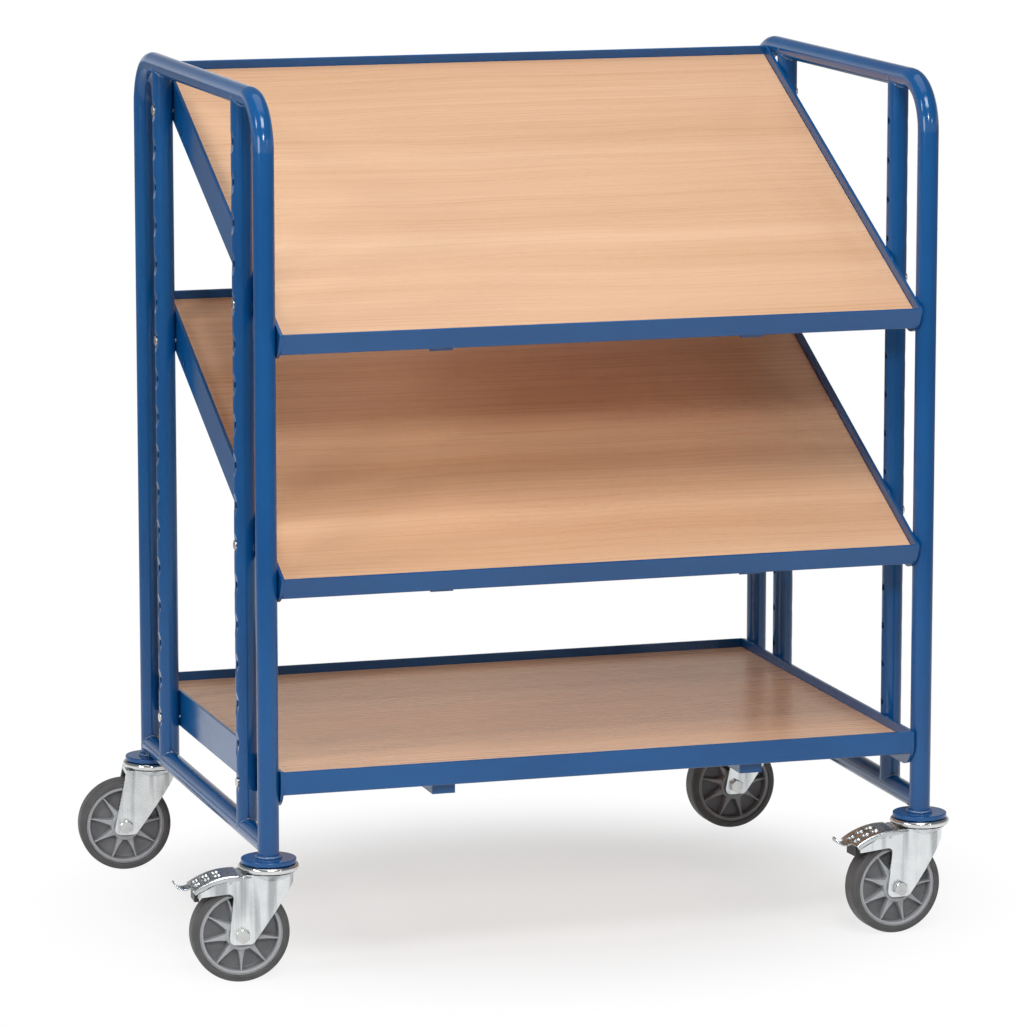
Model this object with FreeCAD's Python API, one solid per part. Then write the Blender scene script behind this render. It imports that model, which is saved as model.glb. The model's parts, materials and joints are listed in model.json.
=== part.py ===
import FreeCAD, Part
import math
import os

# Euro container trolley: two tube end frames, three shelves bolted between them, four swivel casters.
# Millimetres. X runs from the left end frame to the right one, Y from front to rear, Z up.
# The origin is on the floor, under the middle of the two end frames.

# Tubes of the end frames
tube_d = 26.9
tube_wall = 2.3
leg_spacing = 633.0
post_spacing = 418.0
overall_height = 1118.5
hoop_bend_r = 62.0
bottom_rail_rise = 15.0
weld_gap = 0.1

# Holes in the inner posts
hole_d = 9.0
hole_count = 17
first_hole_rise = 59.0
last_hole_drop = 59.05
dimple_r = 44.0
dimple_depth = 2.7

# Foot discs and the threaded plugs inside the legs
disc_d = 70.0
disc_t = 6.0
disc_edge_r = 1.2
plug_length = 24.0
plug_clearance = 0.05

# Shelves
shelf_width = 847.0
shelf_depth = 658.0
post_gap = 0.1
rail_height = 30.0
rail_flange = 30.0
rail_t = 3.0
rail_corner_r = 2.5
rail_edge_r = 0.8
side_rail_height = 48.0
side_rail_t = 4.0
side_rail_corner_r = 30.0
side_rail_top_r = 3.0
board_t = 15.0
board_clearance = 0.6
bolt_drop = 36.0
support_spacing = 412.0
support_width = 30.0
support_drop = 15.0
support_wall = 2.5
support_end_inset = 19.0
flange_clearance = 1.0
tilt_setback = 32.0

# Which hole of the front posts carries each shelf, and how many holes higher
# the tilted shelves sit at the rear
bottom_hole = 0
middle_hole = 6
top_hole = 12
tilt_holes = 4

# Shelf bolts
bolt_d = 8.0
bolt_head_d = 13.0
bolt_head_proud = 0.4
bolt_head_edge_r = 0.8
washer_d = 16.0
washer_t = 1.6
washer_clearance = 0.2
nut_across_flats = 13.0
nut_h = 6.5
nut_clearance = 0.03
bolt_tail = 2.0

# Casters
wheel_d = 125.0
wheel_headroom = 25.0
tyre_width = 32.0
tyre_t = 9.5
tyre_shoulder_r = 7.0
tyre_bead_r = 1.0
trail = 38.0
front_left_turn = -4.5
front_right_turn = 4.0
rear_left_turn = -6.0
rear_right_turn = 2.0

# Swivel head, king bolt and bearing balls
head_d = 77.0
head_boss_d = 44.0
head_boss_h = 0.8
head_flange_h = 8.2
head_edge_r = 3.6
race_gap = 1.6
ball_d = 6.0
ball_ring_d = 48.0
ball_count = 12
ball_clearance = 0.15
king_bolt_d = 12.0
king_running_clearance = 0.08
king_head_across_flats = 19.0
king_head_h = 6.0
king_head_gap = 0.3

# Fork. Its wing is placed by distances behind the axle and drops below the crown's top
fork_t = 3.0
wheel_side_gap = 4.0
crown_t = 5.0
crown_d = 68.0
crown_reach = 39.5
crown_flare_h = 9.0
nose_start = 18.0
nose_length = 49.0
fork_lead_drop = 12.0
leg_foot_lead = 13.5
leg_foot_trail = 17.0
leg_foot_drop = 12.0
leg_foot_r = 8.0
crown_back_x = 36.5
wing_reach = 56.0
wing_tip_drop = 21.4
wing_tip_depth = 5.0
wing_mid_back = 32.0
wing_mid_drop = 9.9
wing_shoulder_back = 7.0
wing_shoulder_drop = 4.9
wing_inner_back = 10.0
wing_inner_drop = 22.4
wing_corner_r = 6.0

# Axle
axle_d = 10.0
axle_head_across_flats = 17.0
axle_head_h = 6.4
axle_nut_h = 8.0
axle_clearance = 0.05
axle_tail = 3.0
sleeve_d = 15.0
sleeve_end_gap = 0.05
wheel_running_clearance = 0.08

# Wheel rim
hub_d = 40.0
hub_width = 37.0
hub_edge_r = 1.0
rim_width = 28.0
rim_t = 4.5
web_t = 4.0
rib_count = 9
front_left_rib_turn = 0.0
front_right_rib_turn = 13.5
rear_left_rib_turn = 18.0
rear_right_rib_turn = 16.0
rib_hub_w = 8.0
rib_rim_w = 2.6
rib_rim_inset = 2.0
rib_hub_inset = 2.0
rib_overlap = 1.0

# Brake, placed by distances behind the axle and drops below the crown's top, as the wing is
pedal_t = 2.5
pedal_width = 51.0
pedal_front_back = 3.0
pedal_front_rise = 0.9
pedal_mid_back = 40.0
pedal_mid_drop = 4.4
pedal_end_back = 63.0
pedal_end_drop = 16.2
pedal_flange_h = 7.0
pedal_flange_t = 1.8
arm_lead = 12.0
arm_tip_drop = 1.9
arm_tip_h = 1.6
tongue_width = 22.0
tongue_r = 14.0
tongue_turn = 113.0
tread_count = 3
tread_h = 1.4
tread_span = 9.0
tread_pitch = 14.0
tread_start = 3.0
tread_gap = 5.0
tread_width = 13.0
pivot_back = 14.0
pivot_drop = 7.9
pivot_d = 5.0
pivot_seat_clearance = 0.02
pivot_running_clearance = 0.06
lug_t = 3.0
lug_r = 4.6
lug_side_gap = 0.5
shoe_width = 28.0
shoe_lead_back = 18.0
shoe_trail_back = 28.0
shoe_gap = 2.6
shoe_strap_t = 3.0
shoe_hook_back = 53.0
shoe_hook_length = 6.0
shoe_hook_drop = 32.9

# Sizes worked out from those above
tube_r = tube_d / 2
bore_r = tube_r - tube_wall
frame_x = shelf_width / 2 + post_gap + tube_r
leg_y = leg_spacing / 2
post_y = post_spacing / 2
caster_height = wheel_d + wheel_headroom
disc_top = caster_height + disc_t
hoop_z = overall_height - tube_r
bottom_rail_z = disc_top + bottom_rail_rise
first_hole_z = bottom_rail_z + first_hole_rise
hole_pitch = (hoop_z - last_hole_drop - first_hole_z) / (hole_count - 1)
hole_r = hole_d / 2
half_depth = shelf_depth / 2
side_inner_x = shelf_width / 2 - side_rail_t
wheel_r = wheel_d / 2
axle_z = wheel_r
rim_r = wheel_r - tyre_t
cheek_in = tyre_width / 2 + wheel_side_gap
cheek_out = cheek_in + fork_t
head_bottom = caster_height - head_boss_h - head_flange_h
crown_top = head_bottom - race_gap
crown_under = crown_top - crown_t
king_r = king_bolt_d / 2
sleeve_r = sleeve_d / 2
axle_r = axle_d / 2
wing_tip_top = crown_top - wing_tip_drop
pivot_x = trail + pivot_back
pivot_z = crown_top - pivot_drop
pedal_front_z = crown_top + pedal_front_rise
pedal_end_z = crown_top - pedal_end_drop

AXIS_X = FreeCAD.Vector(1, 0, 0)
AXIS_Y = FreeCAD.Vector(0, 1, 0)
AXIS_Z = FreeCAD.Vector(0, 0, 1)
ORIGIN = FreeCAD.Vector(0, 0, 0)
FULL_TURN = 360.0
HEX_SIDES = 6

# How far a cutting tool or a buried end reaches past the face it goes through, and when two points are one
past = 1.0
same = 1e-6

ENDS = {"left": -1, "right": 1}
ROWS = {"front": -1, "rear": 1}
TURNS = {
    "front_left": front_left_turn,
    "front_right": front_right_turn,
    "rear_left": rear_left_turn,
    "rear_right": rear_right_turn,
}
RIB_TURNS = {
    "front_left": front_left_rib_turn,
    "front_right": front_right_rib_turn,
    "rear_left": rear_left_rib_turn,
    "rear_right": rear_right_rib_turn,
}

os.makedirs("parts", exist_ok=True)


def save(name, *solids):
    """Writes one node: a single solid, or a group of separate ones."""
    shape = solids[0] if len(solids) == 1 else Part.makeCompound(list(solids))
    if not shape.isValid():
        print("not valid:", name)
    shape.exportStep("parts/" + name + ".step")
    print(name, len(shape.Solids), "solids", round(sum(s.Volume for s in shape.Solids)), "mm3")


def box(low, high):
    """A block between two corners."""
    size = [h - l for l, h in zip(low, high)]
    return Part.makeBox(size[0], size[1], size[2], FreeCAD.Vector(*low))


def rod(radius, start, axis, length):
    """A round bar from a start point along an axis."""
    return Part.makeCylinder(radius, length, FreeCAD.Vector(*start), axis)


def hexagon(across_flats, start, axis, length):
    """A hexagonal bar from a start point along X, Y or Z."""
    corner_r = across_flats / math.sqrt(3)
    side_a = AXIS_Z if axis.dot(AXIS_Z) == 0 else AXIS_X
    side_b = axis.cross(side_a)
    corners = []
    for k in range(HEX_SIDES + 1):
        angle = math.radians(FULL_TURN * k / HEX_SIDES)
        offset = side_a * math.cos(angle) + side_b * math.sin(angle)
        corners.append(FreeCAD.Vector(*start) + offset * corner_r)
    return Part.Face(Part.makePolygon(corners)).extrude(axis * length)


def one_solid(shape):
    """A cut or fused shape, cleaned of leftover seams."""
    clean = shape.removeSplitter()
    if len(clean.Solids) != 1:
        print("expected one solid, found", len(clean.Solids))
    return clean.Solids[0]


def upright(a, b):
    """A point of an outline that stands in the XZ plane."""
    return FreeCAD.Vector(a, 0, b)


def side_view(a, b):
    """A point of an outline that stands in the YZ plane."""
    return FreeCAD.Vector(0, a, b)


def turned_section(a, b):
    """A point of a section to be spun about the Y axis: radius and place along the axis."""
    return FreeCAD.Vector(a, b, 0)


def outline(corners, plane):
    """A flat face with straight sides. Each corner is (a, b, radius), and a radius of 0 stays sharp."""
    edges = []
    ends = []
    count = len(corners)
    for k in range(count):
        here = plane(corners[k][0], corners[k][1])
        back = plane(corners[k - 1][0], corners[k - 1][1]) - here
        ahead = plane(corners[(k + 1) % count][0], corners[(k + 1) % count][1]) - here
        radius = corners[k][2]
        if radius == 0:
            ends.append((here, here))
            continue
        half = back.getAngle(ahead) / 2
        back.normalize()
        ahead.normalize()
        reach = radius / math.tan(half)
        middle = back + ahead
        middle.normalize()
        first = here + back * reach
        last = here + ahead * reach
        edges.append(Part.Arc(first, here + middle * (radius / math.sin(half) - radius), last).toShape())
        ends.append((first, last))
    for k in range(count):
        start = ends[k - 1][1]
        end = ends[k][0]
        if start.distanceToPoint(end) > same:
            edges.append(Part.LineSegment(start, end).toShape())
    return Part.Face(Part.Wire(Part.__sortEdges__(edges)))


def ring_sector(centre, inner_r, outer_r, start, end):
    """A flat piece of a ring in the XZ plane, between two angles in degrees."""
    def at(radius, angle):
        turn = math.radians(angle)
        return upright(centre[0] + radius * math.cos(turn), centre[1] + radius * math.sin(turn))

    middle = (start + end) / 2
    edges = [
        Part.Arc(at(inner_r, start), at(inner_r, middle), at(inner_r, end)).toShape(),
        Part.LineSegment(at(inner_r, end), at(outer_r, end)).toShape(),
        Part.Arc(at(outer_r, end), at(outer_r, middle), at(outer_r, start)).toShape(),
        Part.LineSegment(at(outer_r, start), at(inner_r, start)).toShape(),
    ]
    return Part.Face(Part.Wire(edges))


def across(face, low_y, high_y):
    """A face of the XZ plane, drawn out between two places along Y."""
    solid = face.extrude(AXIS_Y * (high_y - low_y))
    solid.translate(AXIS_Y * low_y)
    return solid


def hole_z(number):
    """Height of a hole in the inner posts, counted from the lowest."""
    return first_hole_z + hole_pitch * number


# End frames
def hoop(x):
    """One bent tube: two legs and the top run."""
    straight_y = leg_y - hoop_bend_r
    straight_z = hoop_z - hoop_bend_r
    bend = hoop_bend_r * math.sin(math.radians(FULL_TURN / 8))
    foot_front = FreeCAD.Vector(x, -leg_y, disc_top)
    top_front = FreeCAD.Vector(x, -leg_y, straight_z)
    mid_front = FreeCAD.Vector(x, -straight_y - bend, straight_z + bend)
    run_front = FreeCAD.Vector(x, -straight_y, hoop_z)
    run_rear = FreeCAD.Vector(x, straight_y, hoop_z)
    mid_rear = FreeCAD.Vector(x, straight_y + bend, straight_z + bend)
    top_rear = FreeCAD.Vector(x, leg_y, straight_z)
    foot_rear = FreeCAD.Vector(x, leg_y, disc_top)
    path = Part.Wire([
        Part.LineSegment(foot_front, top_front).toShape(),
        Part.Arc(top_front, mid_front, run_front).toShape(),
        Part.LineSegment(run_front, run_rear).toShape(),
        Part.Arc(run_rear, mid_rear, top_rear).toShape(),
        Part.LineSegment(top_rear, foot_rear).toShape(),
    ])
    skins = []
    for radius in (tube_r, bore_r):
        section = Part.Wire(Part.makeCircle(radius, foot_front, AXIS_Z))
        skins.append(path.makePipeShell([section], True, False))
    return skins[0].cut(skins[1]).Solids[0]


def bottom_rail(x):
    """A round tube between the two legs, its ends hollowed to fit them."""
    length = leg_spacing
    start = (x, -leg_y, bottom_rail_z)
    rail = rod(tube_r, start, AXIS_Y, length).cut(rod(bore_r, start, AXIS_Y, length))
    for row in ROWS.values():
        rail = rail.cut(rod(tube_r + weld_gap, (x, row * leg_y, 0), AXIS_Z, overall_height))
    return rail.Solids[0]


def dimple(x, y, z, wall=0):
    """The pressed hollow around a post hole, on the side away from the shelves, with some wall below it."""
    outward = math.copysign(tube_r + dimple_r - dimple_depth, x)
    return Part.makeSphere(dimple_r + wall, FreeCAD.Vector(x + outward, y, z))


def inner_post(x, y):
    """A perforated tube from the bottom rail to the hoop's top run."""
    start = (x, y, bottom_rail_z)
    length = hoop_z - bottom_rail_z
    hollows = [dimple(x, y, hole_z(k)) for k in range(hole_count)]
    bulges = [dimple(x, y, hole_z(k), tube_wall) for k in range(hole_count)]
    skin = rod(tube_r, start, AXIS_Z, length).cut(Part.makeCompound(hollows))
    bore = rod(bore_r, start, AXIS_Z, length).cut(Part.makeCompound(bulges))
    post = skin.cut(bore)
    for run_z in (bottom_rail_z, hoop_z):
        post = post.cut(rod(tube_r + weld_gap, (x, y - tube_d, run_z), AXIS_Y, 2 * tube_d))
    drills = [rod(hole_r, (x - tube_d, y, hole_z(k)), AXIS_X, 2 * tube_d) for k in range(hole_count)]
    post = post.cut(Part.makeCompound(drills))
    return max(post.Solids, key=lambda solid: solid.Volume)


def foot_disc(x, y):
    """The round plate under a leg, with the king bolt's hole."""
    disc = rod(disc_d / 2, (x, y, caster_height), AXIS_Z, disc_t)
    rims = [edge for edge in disc.Edges if len(edge.Vertexes) == 1]
    disc = disc.makeFillet(disc_edge_r, rims)
    return disc.cut(rod(king_r + plug_clearance, (x, y, caster_height - disc_t), AXIS_Z, 3 * disc_t))


def leg_plug(x, y):
    """The threaded plug inside the foot of a leg."""
    plug = rod(bore_r - plug_clearance, (x, y, disc_top), AXIS_Z, plug_length)
    return plug.cut(rod(king_r + plug_clearance, (x, y, disc_top - past), AXIS_Z, plug_length + 2 * past))


for end, end_sign in ENDS.items():
    frame_end_x = end_sign * frame_x
    save(end + "_hoop", hoop(frame_end_x))
    save(end + "_bottom_rail", bottom_rail(frame_end_x))
    for row, row_sign in ROWS.items():
        save(row + "_" + end + "_post", inner_post(frame_end_x, row_sign * post_y))
        save(row + "_" + end + "_foot_disc", foot_disc(frame_end_x, row_sign * leg_y))

LEGS = [(e * frame_x, r * leg_y) for r in ROWS.values() for e in ENDS.values()]
save("leg_plugs", *[leg_plug(x, y) for x, y in LEGS])


# Shelves, each drawn level: its lip's top edge at Z = 0 and its middle at Y = 0
flat_bolt_front = -post_y
flat_bolt_rear = post_y
tilt_rise = tilt_holes * hole_pitch
tilt_span = math.hypot(post_spacing, tilt_rise)
tilt_bolt_front = tilt_setback - tilt_span / 2
tilt_bolt_rear = tilt_setback + tilt_span / 2


def angle_rail(row_sign):
    """A front or rear rail: an angle with its flange under the board."""
    face = row_sign * half_depth
    corners = [
        (face, 0, rail_edge_r),
        (face, -rail_height, rail_corner_r),
        (face - row_sign * rail_flange, -rail_height, 0),
        (face - row_sign * rail_flange, rail_t - rail_height, 0),
        (face - row_sign * rail_t, rail_t - rail_height, 0),
        (face - row_sign * rail_t, 0, rail_edge_r),
    ]
    rail = outline(corners, side_view).extrude(AXIS_X * 2 * side_inner_x)
    rail.translate(AXIS_X * -side_inner_x)
    return rail


def side_rail(end_sign):
    """A flat bar with round lower corners, a front slot and two rear holes for both shelf positions."""
    corners = [
        (-half_depth, 0, side_rail_top_r),
        (half_depth, 0, side_rail_top_r),
        (half_depth, -side_rail_height, side_rail_corner_r),
        (-half_depth, -side_rail_height, side_rail_corner_r),
    ]
    rail = outline(corners, side_view).extrude(AXIS_X * side_rail_t)
    slot_front = min(flat_bolt_front, tilt_bolt_front)
    slot_rear = max(flat_bolt_front, tilt_bolt_front)
    through = side_rail_t + 2 * past
    places = (slot_front, slot_rear, flat_bolt_rear, tilt_bolt_rear)
    cuts = [rod(hole_r, (-past, y, -bolt_drop), AXIS_X, through) for y in places]
    low = (-past, slot_front, -bolt_drop - hole_r)
    high = (through - past, slot_rear, hole_r - bolt_drop)
    cuts.append(box(low, high))
    for tool in cuts:
        rail = rail.cut(tool)
    rail = one_solid(rail)
    inner_face = side_inner_x if end_sign > 0 else -side_inner_x - side_rail_t
    rail.translate(AXIS_X * inner_face)
    return rail


def support_rail(x):
    """A channel with closed ends under the board, notched to pass under the rails' flanges."""
    half_width = support_width / 2
    bottom = -rail_height - support_drop
    reach = half_depth - support_end_inset
    notch = half_depth - rail_flange - flange_clearance
    rail = box((x - half_width, -reach, bottom), (x + half_width, reach, -rail_height))
    rail = rail.fuse(box((x - half_width, -notch, bottom), (x + half_width, notch, rail_t - rail_height)))
    inside = half_width - support_wall
    inner_reach = reach - support_wall
    rail = rail.cut(box((x - inside, -inner_reach, bottom + support_wall), (x + inside, inner_reach, 0)))
    return one_solid(rail)


def board():
    """The laminate board, lying on the rails' flanges inside the lip."""
    x = side_inner_x - board_clearance
    y = half_depth - rail_t - board_clearance
    low_z = rail_t - rail_height
    return box((-x, -y, low_z), (x, y, low_z + board_t))


def set_shelf(shape, front_hole, rear_hole):
    """Moves a piece of a level shelf to the post holes that carry it."""
    rise = hole_z(rear_hole) - hole_z(front_hole)
    tilt = math.degrees(math.atan2(rise, post_spacing))
    setback = tilt_setback if rise else 0
    placed = shape.copy()
    placed.translate(FreeCAD.Vector(0, -setback, bolt_drop))
    placed.rotate(ORIGIN, AXIS_X, tilt)
    placed.translate(AXIS_Z * (hole_z(front_hole) + rise / 2))
    return placed


SHELVES = {
    "bottom": (bottom_hole, bottom_hole),
    "middle": (middle_hole, middle_hole + tilt_holes),
    "top": (top_hole, top_hole + tilt_holes),
}
bolts = []
washers = []
nuts = []


def shelf_bolt(end_sign, y, z):
    """A low-headed bolt through a post and a side rail, with its washer and nut inside."""
    axis = AXIS_X * -end_sign
    post_x = end_sign * frame_x
    outer_x = post_x + end_sign * tube_r
    seat = rod(tube_r, (post_x, y, z - bolt_head_d), AXIS_Z, 2 * bolt_head_d).cut(dimple(post_x, y, z))
    head_x = post_x + end_sign * (tube_r + bolt_head_proud)
    head = rod(bolt_head_d / 2, (head_x, y, z), axis, tube_r)
    outer_edges = [edge for edge in head.Edges if abs(edge.CenterOfMass.x - head_x) < same]
    head = head.makeFillet(bolt_head_edge_r, outer_edges).cut(seat)
    nut_x = end_sign * (side_inner_x - washer_t)
    tail_x = nut_x - end_sign * (nut_h + bolt_tail)
    shank = rod(bolt_d / 2, (outer_x, y, z), axis, abs(outer_x - tail_x))
    bolts.append(one_solid(head.fuse(shank)))
    hole = rod(bolt_d / 2 + washer_clearance, (outer_x, y, z), axis, shelf_width)
    washers.append(rod(washer_d / 2, (end_sign * side_inner_x, y, z), axis, washer_t).cut(hole))
    thread = rod(bolt_d / 2 + nut_clearance, (outer_x, y, z), axis, shelf_width)
    nuts.append(hexagon(nut_across_flats, (nut_x, y, z), axis, nut_h).cut(thread))


for shelf, (front_hole, rear_hole) in SHELVES.items():
    for row, row_sign in ROWS.items():
        save(shelf + "_" + row + "_rail", set_shelf(angle_rail(row_sign), front_hole, rear_hole))
    for end, end_sign in ENDS.items():
        save(shelf + "_" + end + "_side_rail", set_shelf(side_rail(end_sign), front_hole, rear_hole))
        shelf_bolt(end_sign, -post_y, hole_z(front_hole))
        shelf_bolt(end_sign, post_y, hole_z(rear_hole))
    supports = [support_rail(end_sign * support_spacing / 2) for end_sign in ENDS.values()]
    save(shelf + "_support_rails", *[set_shelf(piece, front_hole, rear_hole) for piece in supports])
    save(shelf + "_board", set_shelf(board(), front_hole, rear_hole))

save("shelf_bolts", *bolts)
save("shelf_washers", *washers)
save("shelf_nuts", *nuts)


# Casters, each drawn about its swivel axis with the wheel trailing towards -X
ball_z = (head_bottom + crown_top) / 2
ball_groove = Part.makeTorus(ball_ring_d / 2, ball_d / 2 + ball_clearance, FreeCAD.Vector(0, 0, ball_z))


def swivel_head():
    """The fixed round head under the foot disc, with the upper ball race."""
    flange_top = caster_height - head_boss_h
    head = rod(head_d / 2, (0, 0, head_bottom), AXIS_Z, head_flange_h)
    rims = [edge for edge in head.Edges if len(edge.Vertexes) == 1]
    head = head.makeFillet(head_edge_r, rims)
    head = head.fuse(rod(head_boss_d / 2, (0, 0, flange_top - past), AXIS_Z, head_boss_h + past))
    head = head.cut(rod(king_r + plug_clearance, (0, 0, 0), AXIS_Z, 2 * caster_height))
    return one_solid(head.cut(ball_groove))


def king_bolt():
    """The bolt that the fork swivels on, from under the crown up into the leg's plug."""
    head_top = crown_under - king_head_gap
    head = hexagon(king_head_across_flats, (0, 0, head_top - king_head_h), AXIS_Z, king_head_h)
    shank = rod(king_r, (0, 0, head_top - past), AXIS_Z, disc_top + plug_length - head_top + past)
    return one_solid(head.fuse(shank))


def bearing_balls():
    """The ring of balls between the swivel head and the fork's crown."""
    balls = []
    for k in range(ball_count):
        angle = 2 * math.pi * k / ball_count
        centre = FreeCAD.Vector(math.cos(angle), math.sin(angle), 0) * (ball_ring_d / 2) + AXIS_Z * ball_z
        balls.append(Part.makeSphere(ball_d / 2, centre))
    return balls


def cheek_outline(braked):
    """Side view of the fork: crown, slanting leg and, with a brake, the wing under the pedal."""
    foot_z = axle_z - leg_foot_drop
    lead_foot = (leg_foot_lead - trail, foot_z, leg_foot_r)
    trail_foot = (-leg_foot_trail - trail, foot_z, leg_foot_r)
    lead_x = nose_length - nose_start + past
    lead = [(lead_x, crown_top, 0), (lead_x, crown_top - fork_lead_drop, 0)]
    crown_back = (-crown_back_x, crown_top, 0)
    if not braked:
        return lead + [lead_foot, trail_foot, crown_back]
    wing = [
        (-trail - wing_inner_back, crown_top - wing_inner_drop, wing_corner_r),
        (-trail - wing_reach, wing_tip_top - wing_tip_depth, 0),
        (-trail - wing_reach, wing_tip_top, 0),
        (-trail - wing_mid_back, crown_top - wing_mid_drop, 0),
        (-trail - wing_shoulder_back, crown_top - wing_shoulder_drop, 0),
        crown_back,
    ]
    return lead + [lead_foot, trail_foot] + wing


def fork_plan(inset, low_z, high_z):
    """The fork seen from above, straight-sided with an oval front, drawn out between two heights."""
    half = cheek_out - inset
    oval = Part.Ellipse(FreeCAD.Vector(-nose_start, 0, low_z), nose_length - inset, half)
    front = Part.ArcOfEllipse(oval, -math.pi / 2, math.pi / 2).toShape()
    corners = [(-nose_start, half), (-wheel_d, half), (-wheel_d, -half), (-nose_start, -half)]
    points = [FreeCAD.Vector(x, y, low_z) for x, y in corners]
    sides = [Part.LineSegment(points[k], points[k + 1]).toShape() for k in range(len(points) - 1)]
    return Part.Face(Part.Wire(Part.__sortEdges__([front] + sides))).extrude(AXIS_Z * (high_z - low_z))


def fork(braked):
    """The pressed fork: two cheeks that meet in a rounded front, under a flared crown."""
    block = across(outline(cheek_outline(braked), upright), -cheek_out, cheek_out)
    block = block.common(fork_plan(0, 0, crown_top))
    flare_foot = FreeCAD.Vector(0, 0, crown_top - crown_flare_h)
    block = block.fuse(Part.makeCone(cheek_out, crown_d / 2, crown_flare_h, flare_foot))
    block = block.cut(fork_plan(fork_t, -past, crown_under))
    block = block.cut(box((-wheel_d, -cheek_in, -past), (-crown_reach, cheek_in, caster_height)))
    block = block.cut(rod(king_r + king_running_clearance, (0, 0, 0), AXIS_Z, caster_height))
    block = block.cut(ball_groove)
    block = block.cut(rod(axle_r + axle_clearance, (-trail, -wheel_d, axle_z), AXIS_Y, 2 * wheel_d))
    if braked:
        seat_r = pivot_d / 2 + pivot_seat_clearance
        block = block.cut(rod(seat_r, (-pivot_x, -wheel_d, pivot_z), AXIS_Y, 2 * wheel_d))
    return one_solid(block)


def axle():
    """The axle bolt, its nut and the sleeve that the wheel turns on."""
    head_y = -cheek_out - axle_head_h
    nut_end = cheek_out + axle_nut_h
    bolt = hexagon(axle_head_across_flats, (-trail, head_y, axle_z), AXIS_Y, axle_head_h)
    shank_y = -cheek_out - past
    bolt = bolt.fuse(rod(axle_r, (-trail, shank_y, axle_z), AXIS_Y, nut_end + axle_tail - shank_y))
    hole = rod(axle_r + axle_clearance, (-trail, -wheel_d, axle_z), AXIS_Y, 2 * wheel_d)
    nut = hexagon(axle_head_across_flats, (-trail, cheek_out, axle_z), AXIS_Y, axle_nut_h).cut(hole)
    half = cheek_in - sleeve_end_gap
    sleeve = rod(sleeve_r, (-trail, -half, axle_z), AXIS_Y, 2 * half).cut(hole)
    return [one_solid(bolt), nut, sleeve]


def spun(corners):
    """A section spun about the wheel's axle."""
    solid = outline(corners, turned_section).revolve(ORIGIN, AXIS_Y, FULL_TURN)
    solid.translate(FreeCAD.Vector(-trail, 0, axle_z))
    return solid


def barrel(inner_r, outer_r, width, edge_r):
    """A ring about the wheel's axle."""
    half = width / 2
    outer = [(outer_r, -half, edge_r), (outer_r, half, edge_r)]
    return spun([(inner_r, -half, 0)] + outer + [(inner_r, half, 0)])


def wheel_rim(rib_turn):
    """The moulded rim: hub, web, ribs on both sides, outer ring. One rib is turned from straight down."""
    hub_r = hub_d / 2
    bore = sleeve_r + wheel_running_clearance
    ring_r = rim_r - rim_t
    rim = barrel(bore, hub_r, hub_width, hub_edge_r)
    rim = rim.fuse(barrel(hub_r - rib_overlap, ring_r + rib_overlap, web_t, 0))
    rim = rim.fuse(barrel(ring_r, rim_r, rim_width, 0))
    hub_y = hub_width / 2 - rib_hub_inset
    rim_y = rim_width / 2 - rib_rim_inset
    inner_r = hub_r - rib_overlap
    outer_r = ring_r + rib_overlap
    envelope = spun([(inner_r, -hub_y, 0), (outer_r, -rim_y, 0), (outer_r, rim_y, 0), (inner_r, hub_y, 0)])
    wedge = outline([(inner_r, -rib_hub_w / 2, 0), (outer_r, -rib_rim_w / 2, 0),
                     (outer_r, rib_rim_w / 2, 0), (inner_r, rib_hub_w / 2, 0)], upright)
    wedge = across(wedge, -hub_width, hub_width)
    ribs = []
    for k in range(rib_count):
        rib = wedge.copy()
        rib.rotate(ORIGIN, AXIS_Y, FULL_TURN / 4 - rib_turn + FULL_TURN * k / rib_count)
        rib.translate(FreeCAD.Vector(-trail, 0, axle_z))
        ribs.append(rib)
    return one_solid(rim.fuse(envelope.common(Part.makeCompound(ribs))))


def tyre():
    """The tyre, with round shoulders."""
    half = tyre_width / 2
    return spun([
        (rim_r, -half, tyre_bead_r),
        (wheel_r, -half, tyre_shoulder_r),
        (wheel_r, half, tyre_shoulder_r),
        (rim_r, half, tyre_bead_r),
    ])


# Brake of a front caster
def circle_through(a, b, c):
    """Centre and radius of the circle through three points of the XZ plane."""
    circle = Part.Circle(upright(*a), upright(*b), upright(*c))
    return (circle.Center.x, circle.Center.z), circle.Radius


def bearing_of(centre, point):
    """Direction in degrees from a centre to a point."""
    return math.degrees(math.atan2(point[1] - centre[1], point[0] - centre[0]))


pedal_front = (-trail - pedal_front_back, pedal_front_z)
pedal_mid = (-trail - pedal_mid_back, crown_top - pedal_mid_drop)
pedal_end = (-trail - pedal_end_back, pedal_end_z)
pedal_centre, pedal_r = circle_through(pedal_front, pedal_mid, pedal_end)
pedal_start_angle = bearing_of(pedal_centre, pedal_front)
pedal_end_angle = bearing_of(pedal_centre, pedal_end)


def pedal_sector(depth):
    """The pedal's curved top with some depth below it, seen from the side."""
    return ring_sector(pedal_centre, pedal_r - depth, pedal_r, pedal_start_angle, pedal_end_angle)


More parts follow.
